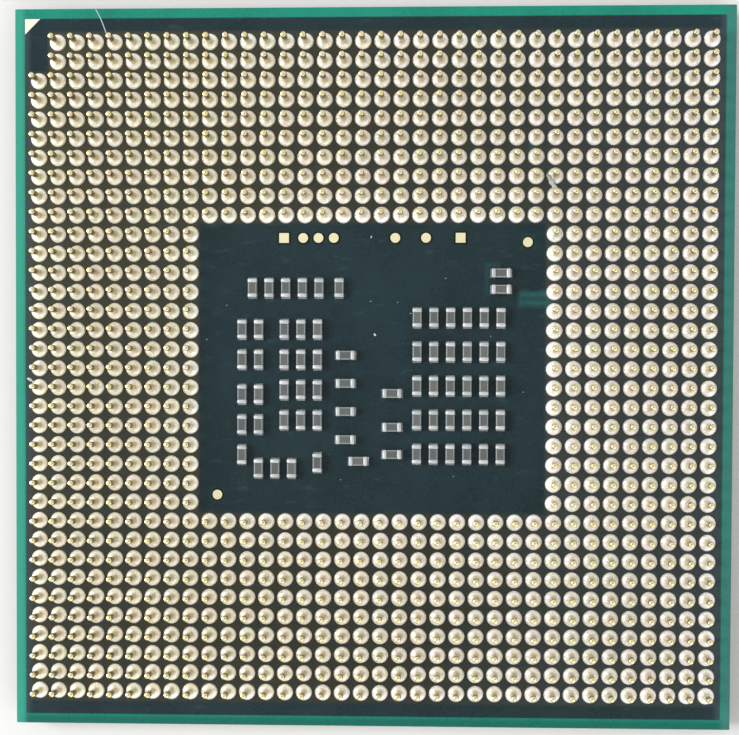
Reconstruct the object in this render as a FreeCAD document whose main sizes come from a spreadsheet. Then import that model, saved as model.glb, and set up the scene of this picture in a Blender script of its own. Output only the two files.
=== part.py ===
import FreeCAD, Part

import os

import Sketcher

# Laptop processor, pin side up. X runs to the right and Y to the back of the package, Z up through
# the pins. The origin lies under the middle of the package, on the plane that the two die backs rest on.
# Places of chips, pads and marks in the cavity are counted in pin pitches from the middle of the package.

SIZES = [
    ("package_width", 37.5, "organic package, along X"),
    ("package_depth", 37.5, "organic package, along Y"),
    ("package_thickness", 1.15, "laminate with its mask"),
    ("package_corner", 0.05, "radius of the sawn corners"),
    ("pin_pitch", 1.0, "from pin to pin, along X and along Y"),
    ("edge_margin", 1.2, "least distance from a package edge to the middle of a pin"),
    ("cavity_columns", 18, "positions left free in the middle, along X"),
    ("cavity_rows", 15, "positions left free in the middle, along Y"),
    ("keyed_positions", 2, "positions without a pin in the keyed corner"),
    ("pin_diameter", 0.305, "round contact pin"),
    ("pin_length", 2.03, "from the package to the tip"),
    ("pin_tip_chamfer", 0.06, "lead-in at the tip"),
    ("joint_gap", 0.12, "between the feet of two neighbouring solder joints"),
    ("joint_height", 0.18, "solder joint at the pin"),
    ("joint_shoulder_height", 0.1, "where the joint's steep foot meets its flat flank"),
    ("joint_shoulder_step", 0.07, "how far the foot has drawn in there"),
    ("chip_length", 1.0, "chip capacitor over its ends"),
    ("chip_width", 0.5, "chip capacitor across its ends"),
    ("chip_height", 0.5, "chip capacitor at its ends"),
    ("chip_end_length", 0.24, "plated end of a chip capacitor"),
    ("chip_end_step", 0.02, "how far the plated end stands proud of the ceramic"),
    ("fillet_length", 0.09, "solder fillet in front of a plated end"),
    ("fillet_height", 0.22, "solder fillet up the plated end"),
    ("chip_spacing", 0.87, "from chip to chip across their width"),
    ("left_pair_x", -6.76, "first chip of the left pairs"),
    ("left_trio_x", -4.55, "first chip of the left trios"),
    ("left_upper_y", 2.04, "first left row"),
    ("left_second_y", 0.46, "second left row"),
    ("left_third_pair_y", -1.35, "pair of the third left row"),
    ("left_third_trio_y", -1.12, "trio of the third left row"),
    ("left_fourth_pair_y", -2.93, "pair of the fourth left row"),
    ("left_fourth_trio_y", -2.7, "trio of the fourth left row"),
    ("left_foot_single_y", -4.51, "single chip under the left pairs"),
    ("left_foot_trio_x", -5.89, "first chip of the lowest trio"),
    ("left_foot_trio_y", -5.22, "lowest trio"),
    ("left_foot_end_x", -2.81, "last chip of the lowest left row"),
    ("left_foot_end_y", -4.92, "last chip of the lowest left row"),
    ("top_row_x", -6.22, "first chip of the top row"),
    ("top_row_y", 4.19, "top row"),
    ("top_row_end_x", -1.69, "last chip of the top row, set apart"),
    ("right_row_x", 2.38, "first chip of each right row"),
    ("right_row_y", 2.65, "first right row"),
    ("right_row_spacing", 1.775, "from right row to right row"),
    ("middle_x", -1.35, "column of lying chips"),
    ("middle_y", 0.69, "first chip of the column"),
    ("middle_spacing", 1.465, "from chip to chip along the column"),
    ("middle_foot_x", -0.67, "last chip of the column, set aside"),
    ("middle_foot_y", -4.83, "last chip of the column, set aside"),
    ("inner_x", 1.09, "column beside the right rows"),
    ("inner_y", -1.29, "first chip of that column"),
    ("inner_spacing", 1.76, "from its first to its second chip"),
    ("inner_foot_y", -4.47, "last chip of that column"),
    ("corner_x", 6.73, "two chips above the right rows"),
    ("corner_y", 4.96, "first of the two"),
    ("corner_spacing", 0.845, "from the first to the second"),
    ("right_row_chips", 6, "chips in a right row"),
    ("top_row_chips", 5, "evenly spaced chips in the top row"),
    ("middle_chips", 4, "evenly spaced chips in the column"),
    ("pad_size", 0.55, "test pad, side or diameter"),
    ("pad_thickness", 0.03, "plated copper above the mask"),
    ("pad_row_y", 6.81, "row of test pads"),
    ("square_pad_left_x", -4.6, "left square pad"),
    ("square_pad_right_x", 4.61, "right square pad"),
    ("round_pad_x", -3.6, "first round pad"),
    ("round_pad_spacing", 0.8, "between the three round pads on the left"),
    ("round_pad_inner_x", 1.21, "fourth round pad"),
    ("round_pad_outer_x", 2.81, "fifth round pad"),
    ("fiducial_size", 0.55, "round alignment mark"),
    ("fiducial_right_x", 8.1, "mark in the upper right of the cavity"),
    ("fiducial_right_y", 6.58, "mark in the upper right of the cavity"),
    ("fiducial_left_x", -8.08, "mark in the lower left of the cavity"),
    ("fiducial_left_y", -6.61, "mark in the lower left of the cavity"),
    ("corner_mark_leg", 0.8, "leg of the triangle that marks the first pin"),
    ("corner_mark_inset", 0.52, "from the package edge to the triangle"),
    ("die_thickness", 0.72, "silicon, both dies"),
    ("bump_gap", 0.08, "between silicon and package"),
    ("processor_die_width", 7.9, "smaller die, along X"),
    ("processor_die_depth", 10.3, "smaller die, along Y"),
    ("graphics_die_width", 10.4, "larger die, along X"),
    ("graphics_die_depth", 11.0, "larger die, along Y"),
    ("processor_die_x", 4.45, "middle of the smaller die"),
    ("die_row_y", -0.9, "middle of both dies"),
    ("die_spacing", 2.2, "between the two dies"),
    ("underfill_spread", 0.9, "how far the underfill runs out from a die"),
    ("underfill_climb", 0.4, "how far it climbs the die's flank"),
]

doc = FreeCAD.newDocument("Processor")
sheet = doc.addObject("Spreadsheet::Sheet", "Sizes")
for line, (alias, value, meaning) in enumerate(SIZES, start=1):
    sheet.set(f"A{line}", meaning)
    sheet.set(f"B{line}", str(value))
    sheet.setAlias(f"B{line}", alias)
doc.recompute()


def sized(text):
    """Turns words such as 'pin_length / 2' into an expression that reads the sheet."""
    words = text.replace("(", "( ").replace(")", " )").split()
    names = {alias for alias, value, meaning in SIZES}
    return " ".join(f"Sizes.{word}" if word in names else word for word in words)


DIE_SIDE = "(die_thickness + bump_gap)"
PIN_SIDE = "(die_thickness + bump_gap + package_thickness)"
JOINT_DIAMETER = "(pin_pitch - joint_gap)"
CAVITY_COLUMN = "((cavity_columns - 1) / 2 * pin_pitch)"
CAVITY_ROW = "((cavity_rows - 1) / 2 * pin_pitch)"
SIDE_COLUMNS = f"floor((package_width / 2 - edge_margin - {CAVITY_COLUMN}) / pin_pitch)"
END_ROWS = f"floor((package_depth / 2 - edge_margin - {CAVITY_ROW}) / pin_pitch)"
PIN_COLUMNS = f"(cavity_columns + 2 * {SIDE_COLUMNS})"
FIRST_COLUMN = f"(0 - {CAVITY_COLUMN} - {SIDE_COLUMNS} * pin_pitch)"
FIRST_ROW = f"({CAVITY_ROW} + {END_ROWS} * pin_pitch)"
RIGHT_COLUMN = f"({CAVITY_COLUMN} + pin_pitch)"
FRONT_ROW = f"(0 - {CAVITY_ROW} - pin_pitch)"


def bind(item, **sizes):
    """Binds properties of an object to expressions; a dot in a property's name is written as __."""
    for name, text in sizes.items():
        item.setExpression(name.replace("__", "."), sized(text))


def new_body(name):
    body = doc.addObject("PartDesign::Body", name)
    body.Label = name
    body.AllowCompound = True
    return body


def origin_of(body, role):
    return next(item for item in body.Origin.OriginFeatures if item.Role == role)


def flat_sketch(body, suffix, across, along, height):
    """A sketch parallel to the package, with its own origin at the given place."""
    sketch = body.newObject("Sketcher::SketchObject", f"{body.Label}_{suffix}")
    sketch.AttachmentSupport = [(origin_of(body, "XY_Plane"), "")]
    sketch.MapMode = "FlatFace"
    bind(sketch, AttachmentOffset__Base__x=across, AttachmentOffset__Base__y=along,
         AttachmentOffset__Base__z=height)
    return sketch


def upright_sketch(body, suffix, across, along, height, facing="X"):
    """A sketch that stands on the package; its horizontal axis runs along X or along Y."""
    sketch = body.newObject("Sketcher::SketchObject", f"{body.Label}_{suffix}")
    plane = "XZ_Plane" if facing == "X" else "YZ_Plane"
    sketch.AttachmentSupport = [(origin_of(body, plane), "")]
    sketch.MapMode = "FlatFace"
    if facing == "X":
        bind(sketch, AttachmentOffset__Base__x=across, AttachmentOffset__Base__y=height,
             AttachmentOffset__Base__z=f"0 - ({along})")
    else:
        bind(sketch, AttachmentOffset__Base__x=along, AttachmentOffset__Base__y=height,
             AttachmentOffset__Base__z=across)
    return sketch


def place_point(sketch, edge, end, across, along):
    """Ties one end of a sketch edge to its distances from the sketch's origin."""
    for kind, text, axis in (("DistanceX", across, -2), ("DistanceY", along, -1)):
        if text == "0":
            sketch.addConstraint(Sketcher.Constraint("PointOnObject", edge, end, axis))
            continue
        value = float(sketch.evalExpression(sized(text)))
        index = sketch.addConstraint(Sketcher.Constraint(kind, -1, 1, edge, end, value))
        sketch.setExpression(f"Constraints[{index}]", sized(text))


def outline(sketch, corners):
    """Draws a closed outline of straight edges through corners given as pairs of expressions."""
    points = [FreeCAD.Vector(*(float(sketch.evalExpression(sized(text))) for text in corner), 0)
              for corner in corners]
    edges = [sketch.addGeometry(Part.LineSegment(start, end), False)
             for start, end in zip(points, points[1:] + points[:1])]
    for edge, following in zip(edges, edges[1:] + edges[:1]):
        sketch.addConstraint(Sketcher.Constraint("Coincident", edge, 2, following, 1))
    for edge, (across, along) in zip(edges, corners):
        place_point(sketch, edge, 1, across, along)
    return edges


def rectangle(sketch, width, depth):
    """A rectangle round the sketch's origin."""
    half_width, half_depth = f"({width}) / 2", f"({depth}) / 2"
    outline(sketch, [(f"0 - {half_width}", f"0 - {half_depth}"), (half_width, f"0 - {half_depth}"),
                     (half_width, half_depth), (f"0 - {half_width}", half_depth)])


def disc(sketch, diameter, across="0", along="0"):
    """A circle at a distance from the sketch's origin."""
    centre = [float(sketch.evalExpression(sized(text))) for text in (across, along)]
    radius = float(sketch.evalExpression(sized(diameter))) / 2
    edge = sketch.addGeometry(Part.Circle(FreeCAD.Vector(*centre, 0), FreeCAD.Vector(0, 0, 1), radius), False)
    place_point(sketch, edge, 3, across, along)
    index = sketch.addConstraint(Sketcher.Constraint("Diameter", edge, 2 * radius))
    sketch.setExpression(f"Constraints[{index}]", sized(diameter))


def pad(body, sketch, height, midplane=False):
    feature = body.newObject("PartDesign::Pad", f"{sketch.Name}_pad")
    feature.Profile = sketch
    feature.Midplane = midplane
    feature.Refine = False
    bind(feature, Length=height)
    sketch.Visibility = False
    body.Tip = feature
    return feature


def turned(body, sketch):
    """Turns a half section round the sketch's vertical axis."""
    feature = body.newObject("PartDesign::Revolution", f"{sketch.Name}_turned")
    feature.Profile = sketch
    feature.ReferenceAxis = (sketch, ["V_Axis"])
    feature.Angle = 360
    feature.Refine = False
    body.Tip = feature
    return feature


def repeat(body, feature, counts, spacings, axes=("X_Axis", "Y_Axis")):
    """Repeats a feature in rows: along the first axis, and where two are given along the second too."""
    pattern = body.newObject("PartDesign::LinearPattern", f"{feature.Name}_rows")
    pattern.Originals = [feature]
    pattern.Refine = False
    for suffix, count, spacing, axis in zip(("", "2"), counts, spacings, axes):
        setattr(pattern, f"Direction{suffix}", (origin_of(body, axis), [""]))
        setattr(pattern, f"Mode{suffix}", "Extent")
        setattr(pattern, f"Reversed{suffix}", axis == "Y_Axis")
        bind(pattern, **{f"Occurrences{suffix}": count, f"Length{suffix}": f"( {count} - 1) * {spacing}"})
    body.Tip = pattern
    return pattern


def build_package():
    """The laminate that carries everything, sawn square with slightly broken corners."""
    body = new_body("package_substrate")
    sketch = flat_sketch(body, "outline", "0", "0", DIE_SIDE)
    rectangle(sketch, "package_width", "package_depth")
    block = pad(body, sketch, "package_thickness")
    doc.recompute()
    upright = [f"Edge{index}" for index, edge in enumerate(block.Shape.Edges, start=1)
               if edge.BoundBox.ZLength > sheet.package_thickness / 2]
    corners = body.newObject("PartDesign::Fillet", "package_corners")
    corners.Base = (block, upright)
    bind(corners, Radius="package_corner")
    body.Tip = corners


def pin_section(sketch):
    """Half section of a round pin with a chamfered tip."""
    radius = "pin_diameter / 2"
    outline(sketch, [("0", "0"), (radius, "0"), (radius, "pin_length - pin_tip_chamfer"),
                     (f"{radius} - pin_tip_chamfer", "pin_length"), ("0", "pin_length")])


def joint_section(sketch):
    """Half section of the solder round a pin: flat foot, bore on the pin, steep foot and flat flank."""
    bore = "pin_diameter / 2"
    foot = f"{JOINT_DIAMETER} / 2"
    outline(sketch, [(bore, "0"), (foot, "0"), (f"{foot} - joint_shoulder_step", "joint_shoulder_height"),
                     (bore, "joint_height")])


BANKS = {
    "rear": (FIRST_COLUMN, FIRST_ROW, PIN_COLUMNS, END_ROWS),
    "front": (FIRST_COLUMN, FRONT_ROW, PIN_COLUMNS, END_ROWS),
    "left": (FIRST_COLUMN, CAVITY_ROW, SIDE_COLUMNS, "cavity_rows"),
    "right": (RIGHT_COLUMN, CAVITY_ROW, SIDE_COLUMNS, "cavity_rows"),
}


def clear_keyed_corner(body):
    """Takes away the copies at the keyed positions, in the rear left corner."""
    depth = "(keyed_positions * pin_pitch)"
    along = f"{FIRST_ROW} + pin_pitch / 2 - {depth} / 2"
    sketch = flat_sketch(body, "keyed_positions", FIRST_COLUMN, along, PIN_SIDE)
    rectangle(sketch, "pin_pitch", depth)
    pocket = body.newObject("PartDesign::Pocket", f"{body.Label}_keyed_corner")
    pocket.Profile = sketch
    pocket.Reversed = True
    pocket.Refine = False
    bind(pocket, Length="2 * pin_length")
    body.Tip = pocket


def build_pins():
    """Four banks of contact pins round the cavity, and the solder joint at each pin's foot."""
    for part, section in (("pins", pin_section), ("pin_joints", joint_section)):
        for bank, (across, along, columns, rows) in BANKS.items():
            body = new_body(f"{part}_{bank}")
            sketch = upright_sketch(body, "section", across, along, PIN_SIDE)
            section(sketch)
            first = turned(body, sketch)
            repeat(body, first, (columns, rows), ("pin_pitch", "pin_pitch"))
            if bank == "rear":
                clear_keyed_corner(body)


def row(across, along, count="1", spacing="chip_spacing", step="X", lying=False):
    """A straight row of chips: its first chip, how many, how far apart, and which way the chips lie."""
    return {"across": f"({across}) * pin_pitch", "along": f"({along}) * pin_pitch", "count": count,
            "spacing": f"{spacing} * pin_pitch", "step": step, "lying": lying}


def left_row(pair_y, trio_y):
    return [row("left_pair_x", pair_y, "2"), row("left_trio_x", trio_y, "3")]


CHIP_GROUPS = {
    "top_row": [row("top_row_x", "top_row_y", "top_row_chips"), row("top_row_end_x", "top_row_y")],
    "left_upper": left_row("left_upper_y", "left_upper_y"),
    "left_second": left_row("left_second_y", "left_second_y"),
    "left_third": left_row("left_third_pair_y", "left_third_trio_y"),
    "left_fourth": left_row("left_fourth_pair_y", "left_fourth_trio_y"),
    "left_foot": [row("left_pair_x", "left_foot_single_y"), row("left_foot_trio_x", "left_foot_trio_y", "3"),
                  row("left_foot_end_x", "left_foot_end_y")],
    "middle": [row("middle_x", "middle_y", "middle_chips", "middle_spacing", step="Y", lying=True),
               row("middle_foot_x", "middle_foot_y", lying=True)],
    "inner": [row("inner_x", "inner_y", "2", "inner_spacing", step="Y", lying=True),
              row("inner_x", "inner_foot_y", lying=True)],
    "corner": [row("corner_x", "corner_y", "2", "corner_spacing", step="Y", lying=True)],
}
for number, name in enumerate(("upper", "second", "third", "fourth", "foot")):
    CHIP_GROUPS[f"right_{name}"] = [row("right_row_x", f"right_row_y - {number} * right_row_spacing",
                                        "right_row_chips")]

FILLET_GROUPS = ("top", "left", "middle", "inner", "corner", "right")


def spread(body, feature, chips):
    """Repeats one chip's piece along its row, where the row has more than one chip."""
    if chips["count"] != "1":
        repeat(body, feature, (chips["count"],), (chips["spacing"],), (f"{chips['step']}_Axis",))


def chip_block(body, suffix, chips, shift, length, width, bottom, height):
    """A block of each chip in a row, shifted along the chip from its middle."""
    across, along = chips["across"], chips["along"]
    if chips["lying"]:
        sketch = flat_sketch(body, suffix, f"{across} + {shift}", along, bottom)
        rectangle(sketch, length, width)
    else:
        sketch = flat_sketch(body, suffix, across, f"{along} + {shift}", bottom)
        rectangle(sketch, width, length)
    spread(body, pad(body, sketch, height), chips)


def build_chip_group(name, rows):
    """The ceramic blocks of a group of capacitors, and the plated ends that carry them."""
    ceramics = new_body(f"capacitors_{name}")
    ends = new_body(f"capacitor_ends_{name}")
    waist = "chip_width - 2 * chip_end_step"
    for number, chips in enumerate(rows):
        chip_block(ceramics, f"run_{number}", chips, "0", "chip_length - 2 * chip_end_length", waist,
                   f"{PIN_SIDE} + chip_end_step", "chip_height - 2 * chip_end_step")
        offset = "(chip_length - chip_end_length) / 2"
        for side, shift in (("near", f"( 0 - {offset} )"), ("far", f"( {offset} )")):
            chip_block(ends, f"run_{number}_{side}", chips, shift, "chip_end_length", "chip_width",
                       PIN_SIDE, "chip_height")


def build_chip_fillets(area):
    """The solder fillets in front of the plated ends, for the groups in one area of the cavity."""
    body = new_body(f"capacitor_fillets_{area}")
    groups = [rows for name, rows in CHIP_GROUPS.items() if name.split("_")[0] == area]
    for number, chips in enumerate(chips for rows in groups for chips in rows):
        facing = "X" if chips["lying"] else "Y"
        for side, sign in (("near", "0 - "), ("far", "")):
            sketch = upright_sketch(body, f"run_{number}_{side}", chips["across"], chips["along"],
                                    PIN_SIDE, facing)
            face = f"{sign}chip_length / 2"
            toe = f"{sign}(chip_length / 2 + fillet_length)"
            outline(sketch, [(face, "0"), (toe, "0"), (face, "fillet_height")])
            spread(body, pad(body, sketch, "chip_width - 2 * chip_end_step", midplane=True), chips)


def build_pads():
    """Plated test pads, alignment marks and the triangles that mark the first pin's corner."""
    row_y = "pad_row_y * pin_pitch"
    squares = new_body("test_pads_square")
    for side in ("left", "right"):
        sketch = flat_sketch(squares, side, f"square_pad_{side}_x * pin_pitch", row_y, PIN_SIDE)
        rectangle(sketch, "pad_size", "pad_size")
        pad(squares, sketch, "pad_thickness")
    rounds = new_body("test_pads_round")
    sketch = flat_sketch(rounds, "discs", "0", "0", PIN_SIDE)
    for across in ("round_pad_x", "round_pad_x + round_pad_spacing", "round_pad_x + 2 * round_pad_spacing",
                   "round_pad_inner_x", "round_pad_outer_x"):
        disc(sketch, "pad_size", f"({across}) * pin_pitch", row_y)
    pad(rounds, sketch, "pad_thickness")
    for side in ("left", "right"):
        mark = new_body(f"fiducial_{side}")
        sketch = flat_sketch(mark, "disc", "0", "0", PIN_SIDE)
        disc(sketch, "fiducial_size", f"fiducial_{side}_x * pin_pitch", f"fiducial_{side}_y * pin_pitch")
        pad(mark, sketch, "pad_thickness")
    left = "corner_mark_inset - package_width / 2"
    rear = "package_depth / 2 - corner_mark_inset"
    for name, height in (("corner_mark_pin_side", PIN_SIDE),
                         ("corner_mark_die_side", f"{DIE_SIDE} - pad_thickness")):
        mark = new_body(name)
        sketch = flat_sketch(mark, "triangle", left, rear, height)
        outline(sketch, [("0", "0"), ("0", "0 - corner_mark_leg"), ("corner_mark_leg", "0")])
        pad(mark, sketch, "pad_thickness")


GRAPHICS_DIE_X = "(processor_die_x - processor_die_width / 2 - die_spacing - graphics_die_width / 2)"
DIES = {
    "processor": ("processor_die_x", "processor_die_width", "processor_die_depth"),
    "graphics": (GRAPHICS_DIE_X, "graphics_die_width", "graphics_die_depth"),
}


def build_dies():
    """The two bare dies under the package, each in its own bed of underfill."""
    for name, (across, width, depth) in DIES.items():
        die = new_body(f"{name}_die")
        sketch = flat_sketch(die, "outline", across, "die_row_y", "0")
        rectangle(sketch, width, depth)
        pad(die, sketch, "die_thickness")

        bed = new_body(f"{name}_underfill")
        top = flat_sketch(bed, "foot", across, "die_row_y", DIE_SIDE)
        rectangle(top, f"{width} + 2 * underfill_spread", f"{depth} + 2 * underfill_spread")
        rim = flat_sketch(bed, "rim", across, "die_row_y", f"{DIE_SIDE} - bump_gap - underfill_climb")
        rectangle(rim, f"{width} + 2 * bump_gap", f"{depth} + 2 * bump_gap")
        flank = bed.newObject("PartDesign::AdditiveLoft", f"{name}_underfill_flank")
        flank.Profile = top
        flank.Sections = [rim]
        flank.Ruled = True
        flank.Refine = False
        seat = flat_sketch(bed, "seat", across, "die_row_y", f"{DIE_SIDE} - bump_gap")
        rectangle(seat, width, depth)
        pocket = bed.newObject("PartDesign::Pocket", f"{name}_underfill_seat")
        pocket.Profile = seat
        pocket.Refine = False
        bind(pocket, Length="die_thickness")
        bed.Tip = pocket


build_package()
build_pins()
for group, rows in CHIP_GROUPS.items():
    build_chip_group(group, rows)
for area in FILLET_GROUPS:
    build_chip_fillets(area)
build_pads()
build_dies()
doc.recompute()

for item in doc.Objects:
    if {"Invalid", "Error"} & set(item.State):
        raise RuntimeError(f"{item.Name} did not build: {item.State}")

bodies = [item for item in doc.Objects if item.TypeId == "PartDesign::Body"]
for body in bodies:
    if body.Shape.isNull() or not body.Shape.isValid() or not body.Shape.Solids:
        raise RuntimeError(f"{body.Label} has no valid solid")

os.makedirs("parts", exist_ok=True)
for body in bodies:
    body.Shape.exportStep(f"parts/{body.Label}.step")
    print(f"{body.Label}: {len(body.Shape.Solids)} solids, {body.Shape.Volume:.3f} mm3")
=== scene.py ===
"""Looks of a laptop processor, lying on its die backs with the contact pins up."""

import logging
import math
import random
from collections.abc import Callable, Iterator
from contextlib import contextmanager
from dataclasses import dataclass, field
from enum import Enum

import bmesh
import bpy
from mathutils import Euler, Matrix, Vector


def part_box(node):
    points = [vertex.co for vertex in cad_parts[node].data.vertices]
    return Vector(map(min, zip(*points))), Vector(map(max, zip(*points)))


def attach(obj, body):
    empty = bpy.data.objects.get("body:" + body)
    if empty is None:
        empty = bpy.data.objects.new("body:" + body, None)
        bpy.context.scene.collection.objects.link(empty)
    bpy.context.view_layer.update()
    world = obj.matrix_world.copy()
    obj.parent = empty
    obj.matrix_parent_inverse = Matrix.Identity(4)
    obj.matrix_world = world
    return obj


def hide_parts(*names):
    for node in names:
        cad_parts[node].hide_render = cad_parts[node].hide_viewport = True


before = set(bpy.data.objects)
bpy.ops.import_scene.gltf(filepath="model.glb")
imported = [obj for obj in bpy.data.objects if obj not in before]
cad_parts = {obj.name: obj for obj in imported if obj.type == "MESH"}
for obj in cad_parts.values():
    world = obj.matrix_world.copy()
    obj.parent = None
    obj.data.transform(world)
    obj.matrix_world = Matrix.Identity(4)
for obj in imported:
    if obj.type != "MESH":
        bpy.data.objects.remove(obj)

MM = 0.001
BODY = "root"
PHOTO_WIDTH = 739
# A face looks a way when its normal has more than this share along it.
FACING = 0.9
# Two heights are taken as one within this distance.
NEAR = 0.01 * MM

log = logging.getLogger("processor")

Colour = tuple[float, float, float, float]
Pair = tuple[float, float]
Triple = tuple[float, float, float]
Box = tuple[Vector, Vector]
Piece = bpy.types.Object
Socket = bpy.types.NodeSocket
Tree = bpy.types.NodeTree


def srgb(red: float, green: float, blue: float) -> Colour:
    """Turns a colour as seen on a screen into a linear one.

    Args:
        red: Red from 0 to 255.
        green: Green from 0 to 255.
        blue: Blue from 0 to 255.

    Returns:
        The linear colour with full alpha.
    """
    def linear(value: float) -> float:
        """Linear value of one channel."""
        share = value / 255
        return share / 12.92 if share <= 0.04045 else ((share + 0.055) / 1.055) ** 2.4

    return (linear(red), linear(green), linear(blue), 1.0)


class Bank(Enum):
    """The four banks of contact pins round the cavity."""

    REAR = "rear"
    FRONT = "front"
    LEFT = "left"
    RIGHT = "right"


class Lie(Enum):
    """Which way a chip capacitor lies."""

    ALONG_X = "along_x"
    ALONG_Y = "along_y"

    @staticmethod
    def of(apart: Vector) -> "Lie":
        """The direction in which a step is longer."""
        return Lie.ALONG_X if abs(apart.x) > abs(apart.y) else Lie.ALONG_Y


@dataclass
class Graph:
    """Adds nodes and links to one node tree.

    Args:
        tree: The tree that the nodes go into.
    """

    tree: Tree

    def feed(self, socket: Socket, value: object) -> None:
        """Links or sets an input.

        Args:
            socket: The input.
            value: A socket to link from, or a plain value.
        """
        if isinstance(value, Socket):
            self.tree.links.new(value, socket)
        else:
            socket.default_value = value

    def add(self, kind: str, inputs: dict | None = None, **settings: object) -> bpy.types.Node:
        """Adds a node.

        Args:
            kind: The node's type name.
            inputs: Values or sockets for its inputs, by name or number.
            settings: Values for its own settings.

        Returns:
            The node.
        """
        made = self.tree.nodes.new(kind)
        for name, value in settings.items():
            setattr(made, name, value)
        for name, value in (inputs or {}).items():
            self.feed(made.inputs[name], value)
        return made

    def math(self, operation: str, *values: object) -> Socket:
        """The result of an operation on values in order."""
        return self.add("ShaderNodeMath", dict(enumerate(values)), operation=operation).outputs[0]

    def times(self, first: object, second: object) -> Socket:
        """The product of two values."""
        return self.math("MULTIPLY", first, second)

    def less(self, first: object, second: object) -> Socket:
        """The first value less the second."""
        return self.math("SUBTRACT", first, second)

    def vector(self, operation: str, first: object, second: object = (0.0, 0.0, 0.0)) -> Socket:
        """The result of an operation on one or two vectors."""
        return self.add("ShaderNodeVectorMath", {0: first, 1: second}, operation=operation).outputs[0]

    def mix(self, factor: object, low: object, high: object) -> Socket:
        """A blend of two colours, where the factor is the share of the second."""
        return self.add("ShaderNodeMix", {0: factor, 6: low, 7: high}, data_type="RGBA").outputs[2]

    def ramp(self, value: object, start: float, end: float, low: float = 0.0, high: float = 1.0) -> Socket:
        """A value that goes smoothly from low at the start to high at the end, and is held beyond."""
        inputs = {0: value, 1: start, 2: end, 3: low, 4: high}
        return self.add("ShaderNodeMapRange", inputs, interpolation_type="SMOOTHSTEP").outputs[0]

    def split(self, vector: object) -> list[Socket]:
        """Splits a vector into its three parts."""
        return list(self.add("ShaderNodeSeparateXYZ", {0: vector}).outputs)

    def place(self) -> Socket:
        """The point on the object, in millimetres."""
        coordinates = self.add("ShaderNodeTexCoord")
        scaled = self.add("ShaderNodeMapping", {0: coordinates.outputs["Object"]})
        scaled.inputs["Scale"].default_value = (1 / MM, 1 / MM, 1 / MM)
        return scaled.outputs[0]

    def noise(self, place: object, scale: object, detail: float = 3.0, fading: float = 0.55) -> Socket:
        """A cloudy value from 0 to 1, with a number of clouds per millimetre and of finer layers in them."""
        inputs = {"Vector": place, "Scale": scale, "Detail": detail, "Roughness": fading}
        return self.add("ShaderNodeTexNoise", inputs).outputs[0]

    def group(self, tree: Tree, **inputs: object) -> list[Socket]:
        """Places a node group with its own values.

        Args:
            tree: The group.
            inputs: Values or sockets by input name.

        Returns:
            The group's outputs.
        """
        made = self.tree.nodes.new("ShaderNodeGroup")
        made.node_tree = tree
        for name, value in inputs.items():
            self.feed(made.inputs[name], value)
        return list(made.outputs)

    def clouds(self, place: object, coarse: float, fine: float) -> list[Socket]:
        """Value of large and small clouds, each so many per millimetre, and a fine height for a bump."""
        return self.group(EFFECTS.mottle(), Place=place, Coarse=coarse, Fine=fine)

    def zone(self, place: object, middle: tuple, half: tuple, soft: float) -> Socket:
        """A rectangle on the package, by its middle, its half sizes and the width of its soft edge."""
        deep = 100.0
        sides = {"Middle": (*middle, 0), "Half": (*half, deep), "Soft": soft}
        return self.group(EFFECTS.patch(), Place=place, **sides)[0]

    def bump(self, height: object, strength: float, reach: float) -> Socket:
        """A bump from a height whose full step is the reach in millimetres."""
        inputs = {"Height": height, "Strength": strength, "Distance": reach * MM}
        return self.add("ShaderNodeBump", inputs).outputs[0]


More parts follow.
